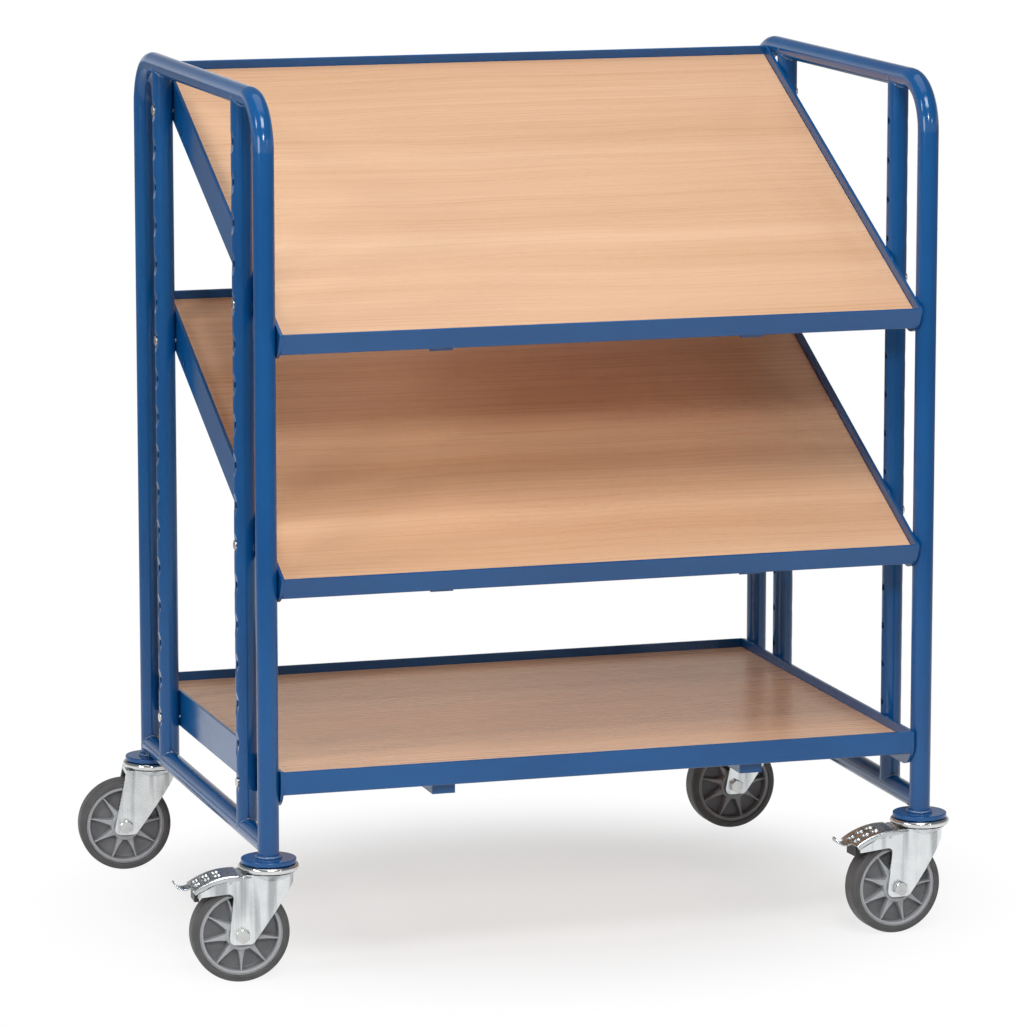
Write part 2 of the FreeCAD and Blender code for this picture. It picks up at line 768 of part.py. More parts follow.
def pedal():
    """The curved brake pedal with side flanges and arms, treads, an upturned tongue and two pivot lugs."""
    half = pedal_width / 2
    plate = across(pedal_sector(pedal_t), -half, half)
    tip_z = crown_top - arm_tip_drop
    arm = outline([
        (pedal_front[0] - past, pedal_front_z - pedal_t, 0),
        (arm_lead - trail, tip_z, 0),
        (arm_lead - trail, tip_z - arm_tip_h, 0),
        (pedal_front[0] - past, pedal_front_z - pedal_flange_h, 0),
    ], upright)
    for side_view_face in (pedal_sector(pedal_flange_h), arm):
        plate = plate.fuse(across(side_view_face, -half, pedal_flange_t - half))
        plate = plate.fuse(across(side_view_face, half - pedal_flange_t, half))
    degree = math.degrees(1 / pedal_r)
    for k in range(tread_count):
        start = pedal_end_angle - degree * (tread_start + tread_pitch * k)
        end = start - degree * tread_span
        tread = ring_sector(pedal_centre, pedal_r - past, pedal_r + tread_h, start, end)
        plate = plate.fuse(across(tread, tread_gap / 2, tread_gap / 2 + tread_width))
        plate = plate.fuse(across(tread, -tread_gap / 2 - tread_width, -tread_gap / 2))
    turn = math.radians(pedal_end_angle)
    tongue_centre = (pedal_centre[0] + (pedal_r + tongue_r) * math.cos(turn),
                     pedal_centre[1] + (pedal_r + tongue_r) * math.sin(turn))
    back = pedal_end_angle + FULL_TURN / 2
    tongue = ring_sector(tongue_centre, tongue_r, tongue_r + pedal_t, back, back - tongue_turn)
    plate = plate.fuse(across(tongue, -tongue_width / 2, tongue_width / 2))
    lug_out = cheek_in - lug_side_gap
    lug_lead = pivot_x + lug_r + pedal_centre[0]
    lug_top = pedal_centre[1] + math.sqrt((pedal_r - pedal_t / 2) ** 2 - lug_lead ** 2)
    for side in (-1, 1):
        low_y = min(side * lug_out, side * (lug_out - lug_t))
        lug = rod(lug_r, (-pivot_x, low_y, pivot_z), AXIS_Y, lug_t)
        lug = lug.fuse(box((-pivot_x - lug_r, low_y, pivot_z), (lug_r - pivot_x, low_y + lug_t, lug_top)))
        plate = plate.fuse(lug)
    bore_r = pivot_d / 2 + pivot_running_clearance
    return one_solid(plate.cut(rod(bore_r, (-pivot_x, -pedal_width, pivot_z), AXIS_Y, 2 * pedal_width)))


def brake_shoe():
    """The black shoe under the pedal: a strap, the block over the tyre and a hooked end."""
    under_r = pedal_r - pedal_t
    half = shoe_width / 2
    lead_x = -trail - shoe_lead_back
    trail_x = -trail - shoe_trail_back
    hook_x = -trail - shoe_hook_back
    hook_z = crown_top - shoe_hook_drop
    strap_start = bearing_of(pedal_centre, (lead_x, pedal_front_z))
    strap = ring_sector(pedal_centre, under_r - shoe_strap_t, under_r, strap_start, pedal_end_angle)
    shoe = across(strap, -half, half)
    block = box((trail_x, -half, axle_z), (lead_x, half, pedal_front_z))
    hook = box((hook_x - shoe_hook_length, -half, hook_z), (hook_x, half, pedal_end_z))
    under_pedal = rod(under_r, (pedal_centre[0], -half, pedal_centre[1]), AXIS_Y, shoe_width)
    shoe = shoe.fuse(block.common(under_pedal)).fuse(hook.common(under_pedal))
    clear = rod(wheel_r + shoe_gap, (-trail, -wheel_d, axle_z), AXIS_Y, 2 * wheel_d)
    return max(one_solid(shoe.cut(clear)).Solids, key=lambda solid: solid.Volume)


def pivot_pin():
    """The pin across the fork's wings that the pedal turns on."""
    return rod(pivot_d / 2, (-pivot_x, -cheek_out, pivot_z), AXIS_Y, 2 * cheek_out)


def at_corner(shape, row, end):
    """Turns a caster piece to its resting direction and sets it under its leg."""
    placed = shape.copy()
    placed.rotate(ORIGIN, AXIS_Z, TURNS[row + "_" + end])
    placed.translate(FreeCAD.Vector(ENDS[end] * frame_x, ROWS[row] * leg_y, 0))
    return placed


CORNERS = [(row, end) for row in ROWS for end in ENDS]
save("swivel_heads", *[at_corner(swivel_head(), row, end) for row, end in CORNERS])
save("king_bolts", *[at_corner(king_bolt(), row, end) for row, end in CORNERS])
save("bearing_balls", *[at_corner(ball, row, end) for row, end in CORNERS for ball in bearing_balls()])

for row, end in CORNERS:
    corner = row + "_" + end
    braked = row == "front"
    save(corner + "_fork", at_corner(fork(braked), row, end))
    save(corner + "_axle", *[at_corner(piece, row, end) for piece in axle()])
    save(corner + "_rim", at_corner(wheel_rim(RIB_TURNS[corner]), row, end))
    save(corner + "_tyre", at_corner(tyre(), row, end))
    if braked:
        save(corner + "_pedal", at_corner(pedal(), row, end))
        save(corner + "_brake_shoe", at_corner(brake_shoe(), row, end))
        save(corner + "_pivot_pin", at_corner(pivot_pin(), row, end))

print("tilt of the upper shelves", round(math.degrees(math.atan2(tilt_rise, post_spacing)), 2), "degrees")
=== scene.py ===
# %% [markdown]
# # A euro container trolley
# The imported model already holds every tube, rail, board and wheel in its place. This lesson
# dresses that model: it sets up a small photo studio, mixes a finish for each real material, and
# makes finer pieces where a solid is too plain, such as the moulded wheels, the brake pedals and
# the weld beads.

# %% Load the imported model
import json
import math
import bmesh
import bpy
from mathutils import Matrix, Vector


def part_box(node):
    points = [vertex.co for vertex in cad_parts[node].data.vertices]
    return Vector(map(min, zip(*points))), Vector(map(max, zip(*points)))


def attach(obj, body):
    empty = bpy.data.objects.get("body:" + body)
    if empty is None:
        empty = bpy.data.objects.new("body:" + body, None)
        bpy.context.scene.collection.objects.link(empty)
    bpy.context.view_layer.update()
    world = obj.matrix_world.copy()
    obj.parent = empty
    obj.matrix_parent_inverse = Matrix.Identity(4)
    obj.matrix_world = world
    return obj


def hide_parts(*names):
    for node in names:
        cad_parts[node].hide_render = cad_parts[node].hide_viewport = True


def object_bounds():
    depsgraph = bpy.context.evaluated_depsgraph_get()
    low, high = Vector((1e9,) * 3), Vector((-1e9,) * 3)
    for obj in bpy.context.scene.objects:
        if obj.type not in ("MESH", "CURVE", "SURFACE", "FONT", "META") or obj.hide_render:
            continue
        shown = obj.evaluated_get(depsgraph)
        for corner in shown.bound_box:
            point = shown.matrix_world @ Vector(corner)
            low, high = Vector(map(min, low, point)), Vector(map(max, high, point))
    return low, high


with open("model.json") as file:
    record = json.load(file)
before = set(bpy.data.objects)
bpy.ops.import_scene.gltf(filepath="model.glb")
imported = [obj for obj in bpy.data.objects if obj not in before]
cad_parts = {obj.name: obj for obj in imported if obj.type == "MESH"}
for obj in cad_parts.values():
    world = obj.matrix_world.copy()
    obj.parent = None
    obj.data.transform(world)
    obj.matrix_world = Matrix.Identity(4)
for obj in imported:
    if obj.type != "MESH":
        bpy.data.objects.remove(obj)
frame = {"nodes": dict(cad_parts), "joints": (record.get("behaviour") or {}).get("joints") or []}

cad_box = [list(corner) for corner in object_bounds()]
joints = {joint["name"]: joint for joint in frame["joints"]}
CORNERS = ("front_left", "front_right", "rear_left", "rear_right")
MM = 0.001

# %% [markdown]
# ## The camera
# The photograph was taken from the front, a little to the left and slightly above the top shelf,
# with a long lens. The numbers come from matching known points of the trolley, such as tube axes
# and shelf corners, to their pixels. A camera in Blender looks along its own -Z axis, so a level
# view needs a quarter turn about X before the tilt.

# %% Place the camera
scene = bpy.context.scene
camera = bpy.data.objects.new("camera", bpy.data.cameras.new("camera"))
scene.collection.objects.link(camera)
camera.data.lens = 191.92
camera.data.sensor_width = 36.0
camera.data.clip_end = 200.0
camera.location = (-2.1193, -6.8030, 1.7454)
view_turn = math.radians(17.166)
view_drop = math.radians(9.765)
camera.rotation_euler = (math.pi / 2 - view_drop, 0, -view_turn)
scene.camera = camera
print("camera", tuple(round(c, 3) for c in camera.location), "lens", round(camera.data.lens, 1))

# %% [markdown]
# ## Lamps
# A product photograph like this one is lit by large soft boxes, so that shadows stay soft and
# gloss paint shows short bright streaks where a tube bends. The shadow of the top shelf on the
# middle one has two steps, so two large lamps stand in front, one high and one low. A wide one
# hangs overhead, a low one lights the left end frame, and two small ones at the sides only give
# streaks. Every lamp faces the middle of the trolley.

# %% Soft boxes
scene.view_settings.view_transform = "Standard"
aim = Vector((0.0, 0.0, 0.6))
lamps = {  # place, width and height in metres, and power in watts
    "high_box": ((-0.3, -3.0, 4.6), (2.0, 1.6), 114),
    "low_box": ((-1.0, -6.0, 3.5), (1.2, 0.8), 116),
    "overhead_box": ((0.0, 0.3, 4.4), (3.0, 3.0), 34),
    "end_box": ((-3.9, -2.3, 1.6), (1.4, 1.4), 42),
    "left_streak": ((-3.7, -0.9, 3.2), (0.6, 0.9), 25),
    "right_streak": ((2.0, -4.4, 2.2), (0.3, 0.5), 8),
}
for name, (place, size, power) in lamps.items():
    lamp = bpy.data.lights.new(name, "AREA")
    lamp.shape = "RECTANGLE"
    lamp.size, lamp.size_y = size
    lamp.energy = power
    soft_box = bpy.data.objects.new(name, lamp)
    scene.collection.objects.link(soft_box)
    soft_box.location = place
    soft_box.rotation_euler = (Vector(place) - aim).to_track_quat("Z", "Y").to_euler()
print("lamps", len(lamps))

# %% [markdown]
# ## Building node trees
# Shaders are trees of nodes, and writing each link by hand soon gets long. One helper adds a node
# with its inputs, and another maps one range of values to another. A light path node tells which
# kind of ray asks for a colour, so the studio can look plain to the camera and still have the
# bright and dark parts that gloss paint and zinc need to mirror.

# %% Helpers for node trees


def wire(tree, kind, sockets=None, settings=None):
    """Adds a node to a tree. A socket is given a plain value, or another node's output to link."""
    made = tree.nodes.new(kind)
    for key, value in (settings or {}).items():
        setattr(made, key, value)
    for key, value in (sockets or {}).items():
        socket = made.inputs[key]
        if isinstance(value, bpy.types.NodeSocket):
            tree.links.new(value, socket)
        else:
            socket.default_value = value
    return made


def between(tree, value, low, high, start=0.3, end=0.7, ease="LINEAR"):
    """Turns values from start to end into values from low to high."""
    sockets = {"Value": value, "From Min": start, "From Max": end, "To Min": low, "To Max": high}
    return wire(tree, "ShaderNodeMapRange", sockets, {"interpolation_type": ease}).outputs[0]


def seen_directly(tree):
    """1 for a ray from the camera, a mirror or glass, and 0 for a ray that only carries light."""
    path = wire(tree, "ShaderNodeLightPath").outputs
    largest = {"operation": "MAXIMUM"}
    seen = wire(tree, "ShaderNodeMath", {0: path["Is Camera Ray"], 1: path["Is Glossy Ray"]}, largest)
    return wire(tree, "ShaderNodeMath", {0: seen.outputs[0], 1: path["Is Transmission Ray"]},
                largest).outputs[0]


def only_in_mirrors(tree, strength):
    """Some strength for a ray from a mirror, and 1 for any other ray."""
    glossy = wire(tree, "ShaderNodeLightPath").outputs["Is Glossy Ray"]
    return between(tree, glossy, 1.0, strength, 0, 1)


print("tree helpers ready")

# %% [markdown]
# ## The world
# The world fills the shadows a little, most from behind, where the white paper of the studio would
# hang, and that light reaches the level shelf. The camera sees the world plain white. Only mirrors
# see it darken, from pale at the horizon to grey at the ceiling. The limits below are heights and
# depths of a direction of length 1.

# %% World
fill_light, paper_light = 0.02, 2.4
paper_side, paper_top = (0.1, 0.6), (0.34, 0.46)
horizon_light, ceiling_light, ceiling_start = 0.9, 0.2, 0.34

world = bpy.data.worlds.new("studio")
scene.world = world
world.use_nodes = True
sky = world.node_tree
sky.nodes.clear()
looking = wire(sky, "ShaderNodeTexCoord").outputs["Generated"]
direction = wire(sky, "ShaderNodeSeparateXYZ", {0: looking}).outputs
below_top = between(sky, direction["Z"], paper_light, 0.0, *paper_top)
behind = between(sky, direction["Y"], 0.0, below_top, *paper_side)
fill = wire(sky, "ShaderNodeMath", {0: behind, 1: fill_light}).outputs[0]
studio = between(sky, direction["Z"], horizon_light, ceiling_light, 0.0, ceiling_start, "SMOOTHSTEP")
strength = between(sky, seen_directly(sky), fill, only_in_mirrors(sky, studio), 0, 1)
white = wire(sky, "ShaderNodeBackground", {"Color": (1, 1, 1, 1), "Strength": strength})
wire(sky, "ShaderNodeOutputWorld", {"Surface": white.outputs[0]})
print("world", len(sky.nodes), "nodes")

# %% [markdown]
# ## The floor
# The background of the photograph is pure white with a soft grey shadow under the trolley. A very
# large plane gives both: near the trolley nearly half of what the camera sees is the lit plane with
# its shadow, and further away the plane glows white, so no horizon shows. A gradient on the plane's
# own coordinates makes the change gradual. In mirrors the paper darkens a few metres away, because
# a real sheet of paper ends there.

# %% Floor
floor_reach = 60.0
shadow_half = Vector((0.67, 0.60, 1.0))
shadow_edge, glow_in_shadow = (0.45, 1.05), 0.58
paper_end, light_past_paper = (1.2, 3.5), 0.25

floor_mesh = bpy.data.meshes.new("floor")
floor_mesh.from_pydata([(-floor_reach, -floor_reach, 0), (floor_reach, -floor_reach, 0),
                        (floor_reach, floor_reach, 0), (-floor_reach, floor_reach, 0)], [],
                       [(0, 1, 2, 3)])
floor = bpy.data.objects.new("floor", floor_mesh)
scene.collection.objects.link(floor)

paper = bpy.data.materials.new("studio_paper")
paper.use_nodes = True
tree = paper.node_tree
tree.nodes.clear()
place = wire(tree, "ShaderNodeTexCoord").outputs["Object"]
oval = wire(tree, "ShaderNodeVectorMath", {0: place, 1: shadow_half}, {"operation": "DIVIDE"})
distance = wire(tree, "ShaderNodeVectorMath", {0: oval.outputs[0]}, {"operation": "LENGTH"})
glow = between(tree, distance.outputs["Value"], glow_in_shadow, 1.0, *shadow_edge, "SMOOTHSTEP")
share = wire(tree, "ShaderNodeMath", {0: glow, 1: seen_directly(tree)}, {"operation": "MULTIPLY"})
lit = wire(tree, "ShaderNodeBsdfDiffuse", {"Color": (0.8, 0.8, 0.8, 1)})
away = wire(tree, "ShaderNodeVectorMath", {0: place}, {"operation": "LENGTH"}).outputs["Value"]
fading = between(tree, away, 1.0, light_past_paper, *paper_end)
plain = wire(tree, "ShaderNodeEmission", {"Color": (1, 1, 1, 1), "Strength": only_in_mirrors(tree, fading)})
mixed = wire(tree, "ShaderNodeMixShader", {0: share.outputs[0], 1: lit.outputs[0], 2: plain.outputs[0]})
wire(tree, "ShaderNodeOutputMaterial", {"Surface": mixed.outputs[0]})
floor.data.materials.append(paper)
print("floor", 2 * floor_reach, "m across")

# %% [markdown]
# ## Finishes
# Each finish starts from the same Principled shader. What changes is the pattern that drives its
# colour, roughness and bump. All patterns read Object coordinates, which are metres here, so a
# scale of 400 means marks of about 2.5 mm. A bevel node rounds the look of sharp edges, as
# pressing, painting and moulding do.

# %% Helpers for finishes


def colour(red, green, blue):
    """A screen colour, 0 to 255, as the linear colour that a shader wants."""
    def linear(value):
        value /= 255
        return value / 12.92 if value <= 0.04045 else ((value + 0.055) / 1.055) ** 2.4
    return (linear(red), linear(green), linear(blue), 1)


def new_finish(name):
    """An empty material with a Principled shader, and its place on the object in metres."""
    finish = bpy.data.materials.new(name)
    finish.use_nodes = True
    tree = finish.node_tree
    tree.nodes.clear()
    shader = wire(tree, "ShaderNodeBsdfPrincipled")
    wire(tree, "ShaderNodeOutputMaterial", {"Surface": shader.outputs[0]})
    place = wire(tree, "ShaderNodeTexCoord").outputs["Object"]
    return finish, tree, shader, place


def drive(tree, shader, base, roughness, normal):
    """Links the three patterns that every finish has to its shader."""
    for label, pattern in (("Base Color", base), ("Roughness", roughness), ("Normal", normal)):
        tree.links.new(pattern, shader.inputs[label])


def noise(tree, place, scale, detail):
    """Cloudy pattern from 0 to 1. A scale of three numbers stretches it along X, Y and Z."""
    if isinstance(scale, tuple):
        place = wire(tree, "ShaderNodeMapping", {"Vector": place, "Scale": scale}).outputs[0]
        scale = 1.0
    sockets = {"Vector": place, "Scale": scale, "Detail": detail}
    return wire(tree, "ShaderNodeTexNoise", sockets).outputs[0]


def blend_colours(tree, value, first, second):
    """A colour between two others, picked by a pattern."""
    sockets = {"Factor": value, 6: first, 7: second}
    return wire(tree, "ShaderNodeMix", sockets, {"data_type": "RGBA"}).outputs[2]


def bump(tree, height, depth, edge):
    """Surface relief of some depth in metres, on top of edges rounded by a radius."""
    rounded = wire(tree, "ShaderNodeBevel", {"Radius": edge}, {"samples": 6}).outputs[0]
    sockets = {"Height": height, "Distance": depth, "Strength": 1.0, "Normal": rounded}
    return wire(tree, "ShaderNodeBump", sockets).outputs[0]


def add(tree, *values):
    """Adds up patterns, each with its weight."""
    total = None
    for value, weight in values:
        part = wire(tree, "ShaderNodeMath", {0: value, 1: weight}, {"operation": "MULTIPLY"}).outputs[0]
        total = part if total is None else wire(tree, "ShaderNodeMath", {0: total, 1: part}).outputs[0]
    return total


print("finish helpers ready")

# %% [markdown]
# ## Blue powder coat
# The tubes and rails are powder coated: the paint is baked from dust, so it flows into a glossy
# skin with a fine orange-peel relief. A single blue would look like plastic, so the colour drifts
# slightly over tens of centimetres, and two sizes of ripple share the relief.

# %% Blue powder coat
blue_paint, tree, shader, place = new_finish("blue_powder_coat")
drift = between(tree, noise(tree, place, 5.0, 3.0), 0, 1)
ripple = add(tree, (noise(tree, place, 420.0, 1.0), 0.7), (noise(tree, place, 1400.0, 1.0), 0.3))
drive(tree, shader,
      base=blend_colours(tree, drift, colour(9, 75, 132), colour(15, 85, 144)),
      roughness=between(tree, noise(tree, place, 40.0, 3.0), 0.11, 0.17),
      normal=bump(tree, ripple, 0.05 * MM, edge=1.0 * MM))
print("finish", blue_paint.name, len(tree.nodes), "nodes")

# %% [markdown]
# ## Beech laminate
# The boards carry a printed beech pattern under a thin clear film. Printed beech is calm: broad
# warm bands, long fine streaks that wander a little, and short dark flecks along the grain. Noise
# stretched along X makes the bands and streaks. Growth rings round a line far below each board bend
# some of them into flat arches, as on a sawn plank.

# %% Beech laminate
wander_reach = 0.011
ring_line, ring_stretch, ring_scale = (0.0, 0.06, 0.9), (0.16, 1.0, 1.0), 95.0
fleck_strength = 0.13

beech, tree, shader, place = new_finish("beech_laminate")
wander = between(tree, noise(tree, place, (1.7, 4.0, 4.0), 2.0), -wander_reach, wander_reach, 0.2, 0.8)
shift = wire(tree, "ShaderNodeCombineXYZ", {"Y": wander, "Z": wander}).outputs[0]
grain = wire(tree, "ShaderNodeVectorMath", {0: place, 1: shift}).outputs[0]
bands = noise(tree, grain, (0.7, 17.0, 17.0), 3.0)
streaks = noise(tree, grain, (2.4, 210.0, 210.0), 4.0)
fibres = noise(tree, grain, (14.0, 900.0, 900.0), 2.0)
from_line = wire(tree, "ShaderNodeMapping",
                 {"Vector": grain, "Location": ring_line, "Scale": ring_stretch}).outputs[0]
radius = wire(tree, "ShaderNodeVectorMath", {0: from_line}, {"operation": "LENGTH"}).outputs["Value"]
rings = wire(tree, "ShaderNodeTexNoise", {"W": radius, "Scale": ring_scale, "Detail": 3.0},
             {"noise_dimensions": "1D"}).outputs[0]
tone = add(tree, (bands, 0.48), (streaks, 0.23), (fibres, 0.09), (rings, 0.20))
warm = blend_colours(tree, between(tree, tone, 0, 1, 0.27, 0.73),
                     colour(218, 167, 127), colour(242, 200, 163))
flecks = noise(tree, grain, (110.0, 1300.0, 1300.0), 0.0)
fleck_mask = between(tree, flecks, 0, fleck_strength, 0.66, 0.74)
pores = add(tree, (fibres, 0.6), (streaks, 0.4))
drive(tree, shader,
      base=blend_colours(tree, fleck_mask, warm, colour(176, 118, 80)),
      roughness=between(tree, streaks, 0.24, 0.33),
      normal=bump(tree, pores, 0.005 * MM, edge=0.5 * MM))
print("finish", beech.name, len(tree.nodes), "nodes")

# %% [markdown]
# ## Metals
# The forks and pedals are pressed from sheet steel and zinc plated: a bright grey with cloudy
# patches, fine marks from the rolling mill and soft upright darker bands of painted reflection.
# The swivel heads are plated smoother, almost like chrome, and the pedals and bolts are darker. One
# recipe serves them all: only tint, gloss, marks and the painted reflection bands differ.

# %% Plated metals


def plated(name, dark, light, gloss, marks, reflection_banding=0.0):
    """Zinc plating: cloudy tint and gloss, rolling marks of some depth, and painted reflection bands."""
    finish, tree, shader, place = new_finish(name)
    clouds = noise(tree, place, 45.0, 4.0)
    scratches = noise(tree, place, (160.0, 160.0, 2600.0), 2.0)
    grains = noise(tree, place, 700.0, 2.0)
    tint = add(tree, (clouds, 0.6), (scratches, 0.25), (grains, 0.15))
    body = blend_colours(tree, between(tree, tint, 0, 1, 0.35, 0.65), dark, light)
    # Painted reflection: soft upright darker bands stand in for dark surroundings mirrored in the sheet.
    wide = noise(tree, place, (70.0, 70.0, 7.0), 1.0)
    fine = noise(tree, place, (420.0, 420.0, 9.0), 2.0)
    bands = between(tree, add(tree, (wide, 0.84), (fine, 0.16)), reflection_banding, 0, 0.36, 0.5)
    relief = add(tree, (scratches, 0.5), (grains, 0.5))
    drive(tree, shader,
          base=blend_colours(tree, bands, body, colour(126, 130, 133)),
          roughness=between(tree, tint, *gloss, 0.35, 0.65),
          normal=bump(tree, relief, marks, edge=0.6 * MM))
    shader.inputs["Metallic"].default_value = 1.0
    print("finish", name, len(tree.nodes), "nodes")
    return finish


# The forks' zinc carries the painted reflection bands.
zinc = plated("zinc_plated_sheet", colour(216, 220, 222), colour(240, 243, 244),
              gloss=(0.22, 0.34), marks=0.01 * MM, reflection_banding=0.55)
pedal_zinc = plated("zinc_plated_pedal", colour(174, 178, 181), colour(214, 218, 220),
                    gloss=(0.20, 0.30), marks=0.02 * MM)
bright_zinc = plated("bright_zinc", colour(206, 208, 208), colour(230, 231, 231),
                     gloss=(0.10, 0.17), marks=0.004 * MM)
bolt_steel = plated("bolt_steel", colour(176, 178, 178), colour(216, 217, 215),
                    gloss=(0.15, 0.26), marks=0.008 * MM)

# %% [markdown]
# ## Plastics and rubber
# The rims are moulded in grey plastic with a faint spark-eroded texture, the tyres are a darker
# grey rubber that scatters light more, and the brake shoe is black nylon. Their patterns are all
# small and cloudy. On the rims the raised edges are painted paler as a highlight, where light
# would catch them, and an attribute called raised, stored on the mesh, tells the shader where.

# %% Moulded finishes


def moulded(name, dark, light, gloss, scale, depth, edge, painted_highlight=None):
    """Moulded plastic or rubber with a fine texture, and a painted highlight where a mesh is raised."""
    finish, tree, shader, place = new_finish(name)
    clouds = noise(tree, place, 60.0, 4.0)
    texture = add(tree, (noise(tree, place, scale, 2.0), 0.6), (noise(tree, place, scale * 3, 1.0), 0.4))
    body = blend_colours(tree, between(tree, clouds, 0, 1), dark, light)
    if painted_highlight:
        # Painted highlight: the raised parts get a paler colour, as if light caught them.
        raised = wire(tree, "ShaderNodeAttribute", settings={"attribute_name": "raised"})
        body = blend_colours(tree, raised.outputs["Fac"], body, painted_highlight)
    drive(tree, shader, body, between(tree, texture, *gloss), bump(tree, texture, depth, edge))
    print("finish", name, len(tree.nodes), "nodes")
    return finish


# The rims' paler raised edges are a painted highlight.
rim_grey = moulded("grey_nylon", colour(112, 113, 116), colour(126, 127, 130), gloss=(0.36, 0.5),
                   scale=900.0, depth=0.02 * MM, edge=0.6 * MM, painted_highlight=colour(168, 170, 173))
tyre_grey = moulded("grey_rubber", colour(74, 73, 74), colour(89, 88, 88), gloss=(0.5, 0.68),
                    scale=700.0, depth=0.04 * MM, edge=0.4 * MM)
brake_black = moulded("black_nylon", colour(22, 22, 23), colour(34, 34, 35), gloss=(0.35, 0.5),
                      scale=900.0, depth=0.02 * MM, edge=0.6 * MM)

# %% [markdown]
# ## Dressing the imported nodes
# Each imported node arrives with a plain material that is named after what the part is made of. A
# table from those names to the finishes above dresses all of them in one loop. The meshes and their
# places stay as they are.

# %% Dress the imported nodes
finishes = {
    "blue_paint": blue_paint,
    "beech_laminate": beech,
    "zinc": zinc,
    "bright_zinc": bright_zinc,
    "fastener_steel": bolt_steel,
    "rim_grey": rim_grey,
    "tyre_grey": tyre_grey,
    "brake_black": brake_black,
}
for node in frame["nodes"].values():
    for slot in node.material_slots:
        slot.material = finishes[slot.material.name]
print("dressed", len(frame["nodes"]), "nodes")

# %% [markdown]
# ## Shapes turned about the axle
# A wheel is made on a lathe or in a round mould, so its section is drawn once and spun. The outline
# is a list of corners with radii, as a drawing would give them, because small radii catch the light
# that makes an edge look real. Each wheel is drawn about the origin and then carried to its axle,
# whose place and direction the joint gives.

# %% Lathe helpers


def soft_outline(corners, steps=5):
    """Points of a closed outline with rounded corners. Each corner is (a, b, radius)."""
    points = []
    for k in range(len(corners)):
        here = Vector(corners[k][:2])
        radius = corners[k][2]
        if radius == 0:
            points.append(here)
            continue
        back = (Vector(corners[k - 1][:2]) - here).normalized()
        ahead = (Vector(corners[(k + 1) % len(corners)][:2]) - here).normalized()
        half = back.angle(ahead) / 2
        centre = here + (back + ahead).normalized() * (radius / math.sin(half))
        first = here + back * (radius / math.tan(half)) - centre
        last = here + ahead * (radius / math.tan(half)) - centre
        points += [centre + radius * first.slerp(last, step / steps) for step in range(steps + 1)]
    return points


def turned(bm, outline, steps):
    """Spins a closed outline of (radius, place along the axle) points about Y."""
    rows = []
    for step in range(steps):
        angle = 2 * math.pi * step / steps
        cos, sin = math.cos(angle), math.sin(angle)
        rows.append([bm.verts.new((r * cos, y, r * sin)) for r, y in outline])
    for step in range(steps):
        here, back = rows[step], rows[step - 1]
        for k in range(len(outline)):
            bm.faces.new((here[k], here[k - 1], back[k - 1], back[k]))


def as_mesh(bm, name, sharp=math.radians(40)):
    """Closes a mesh: merged, with its faces outwards, smooth but for its sharp edges."""
    bmesh.ops.remove_doubles(bm, verts=bm.verts, dist=1e-7)
    bmesh.ops.recalc_face_normals(bm, faces=bm.faces)
    mesh = bpy.data.meshes.new(name)
    bm.to_mesh(mesh)
    bm.free()
    mesh.shade_smooth()
    mesh.set_sharp_from_angle(angle=sharp)
    return mesh


def piece(name, mesh, body, finish, slot, *replaced):
    """Puts a finished mesh in the scene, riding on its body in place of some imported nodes."""
    made = bpy.data.objects.new(name, mesh)
    scene.collection.objects.link(made)
    mesh.materials.clear()
    mesh.materials.append(finish)
    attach(made, body)
    if replaced:
        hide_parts(*replaced)
    print(name, "on", body, len(mesh.polygons), "faces")


def caster_turn(corner):
    """The resting direction of a caster, as a rotation."""
    along = Vector(joints[corner + "_wheel_spin"]["axis"])
    up = Vector((0, 0, 1))
    return Matrix((along.cross(up), along, up)).transposed().to_4x4()


def at_axle(corner):
    """Carries a wheel drawn about the origin to its axle."""
    return Matrix.Translation(joints[corner + "_wheel_spin"]["pos_m"]) @ caster_turn(corner)


def under_leg(corner):
    """Carries a piece drawn about a swivel axis to its leg, with heights from the floor."""
    place = Vector(joints[corner + "_swivel"]["pos_m"])
    return Matrix.Translation((place.x, place.y, 0)) @ caster_turn(corner)


for corner in CORNERS:
    print(corner, "axle at", [round(v, 4) for v in joints[corner + "_wheel_spin"]["pos_m"]])

# %% [markdown]
# ## Tyres
# The tyre is a plain grey rubber band with round shoulders, and fine moulding lines run round its
# shoulders. The lines are real grooves: the outline is sampled finely, and points near a groove are
# pushed in along the outline's normal.

# %% Tyres
tyre_bed_r, tyre_r, tyre_half = 53 * MM, 62.5 * MM, 16 * MM
bed_round, shoulder_round, shoulder_start = 1.0 * MM, 7 * MM, 9 * MM
groove_radii, groove_half, groove_depth = (57.4 * MM, 59.6 * MM), 0.45 * MM, 0.45 * MM
sample_length = 0.8 * MM
section_middle = Vector((56 * MM, 0))


def tyre_outline():
    """Section of the tyre with its fine grooves."""
    base = soft_outline([(tyre_bed_r, -tyre_half, bed_round), (tyre_r, -tyre_half, shoulder_round),
                         (tyre_r, tyre_half, shoulder_round), (tyre_bed_r, tyre_half, bed_round)], 14)
    fine = []
    for k in range(len(base)):
        start, end = base[k - 1], base[k]
        parts = max(1, round((end - start).length / sample_length))
        fine += [start.lerp(end, part / parts) for part in range(parts)]
    result = []
    for k, point in enumerate(fine):
        normal = (fine[(k + 1) % len(fine)] - fine[k - 1]).orthogonal().normalized()
        if normal.dot(point - section_middle) < 0:
            normal.negate()
        in_groove = any(abs(point.x - groove) < groove_half for groove in groove_radii)
        on_shoulder = abs(point.y) > shoulder_start
        result.append(point - normal * (groove_depth if in_groove and on_shoulder else 0))
    return result


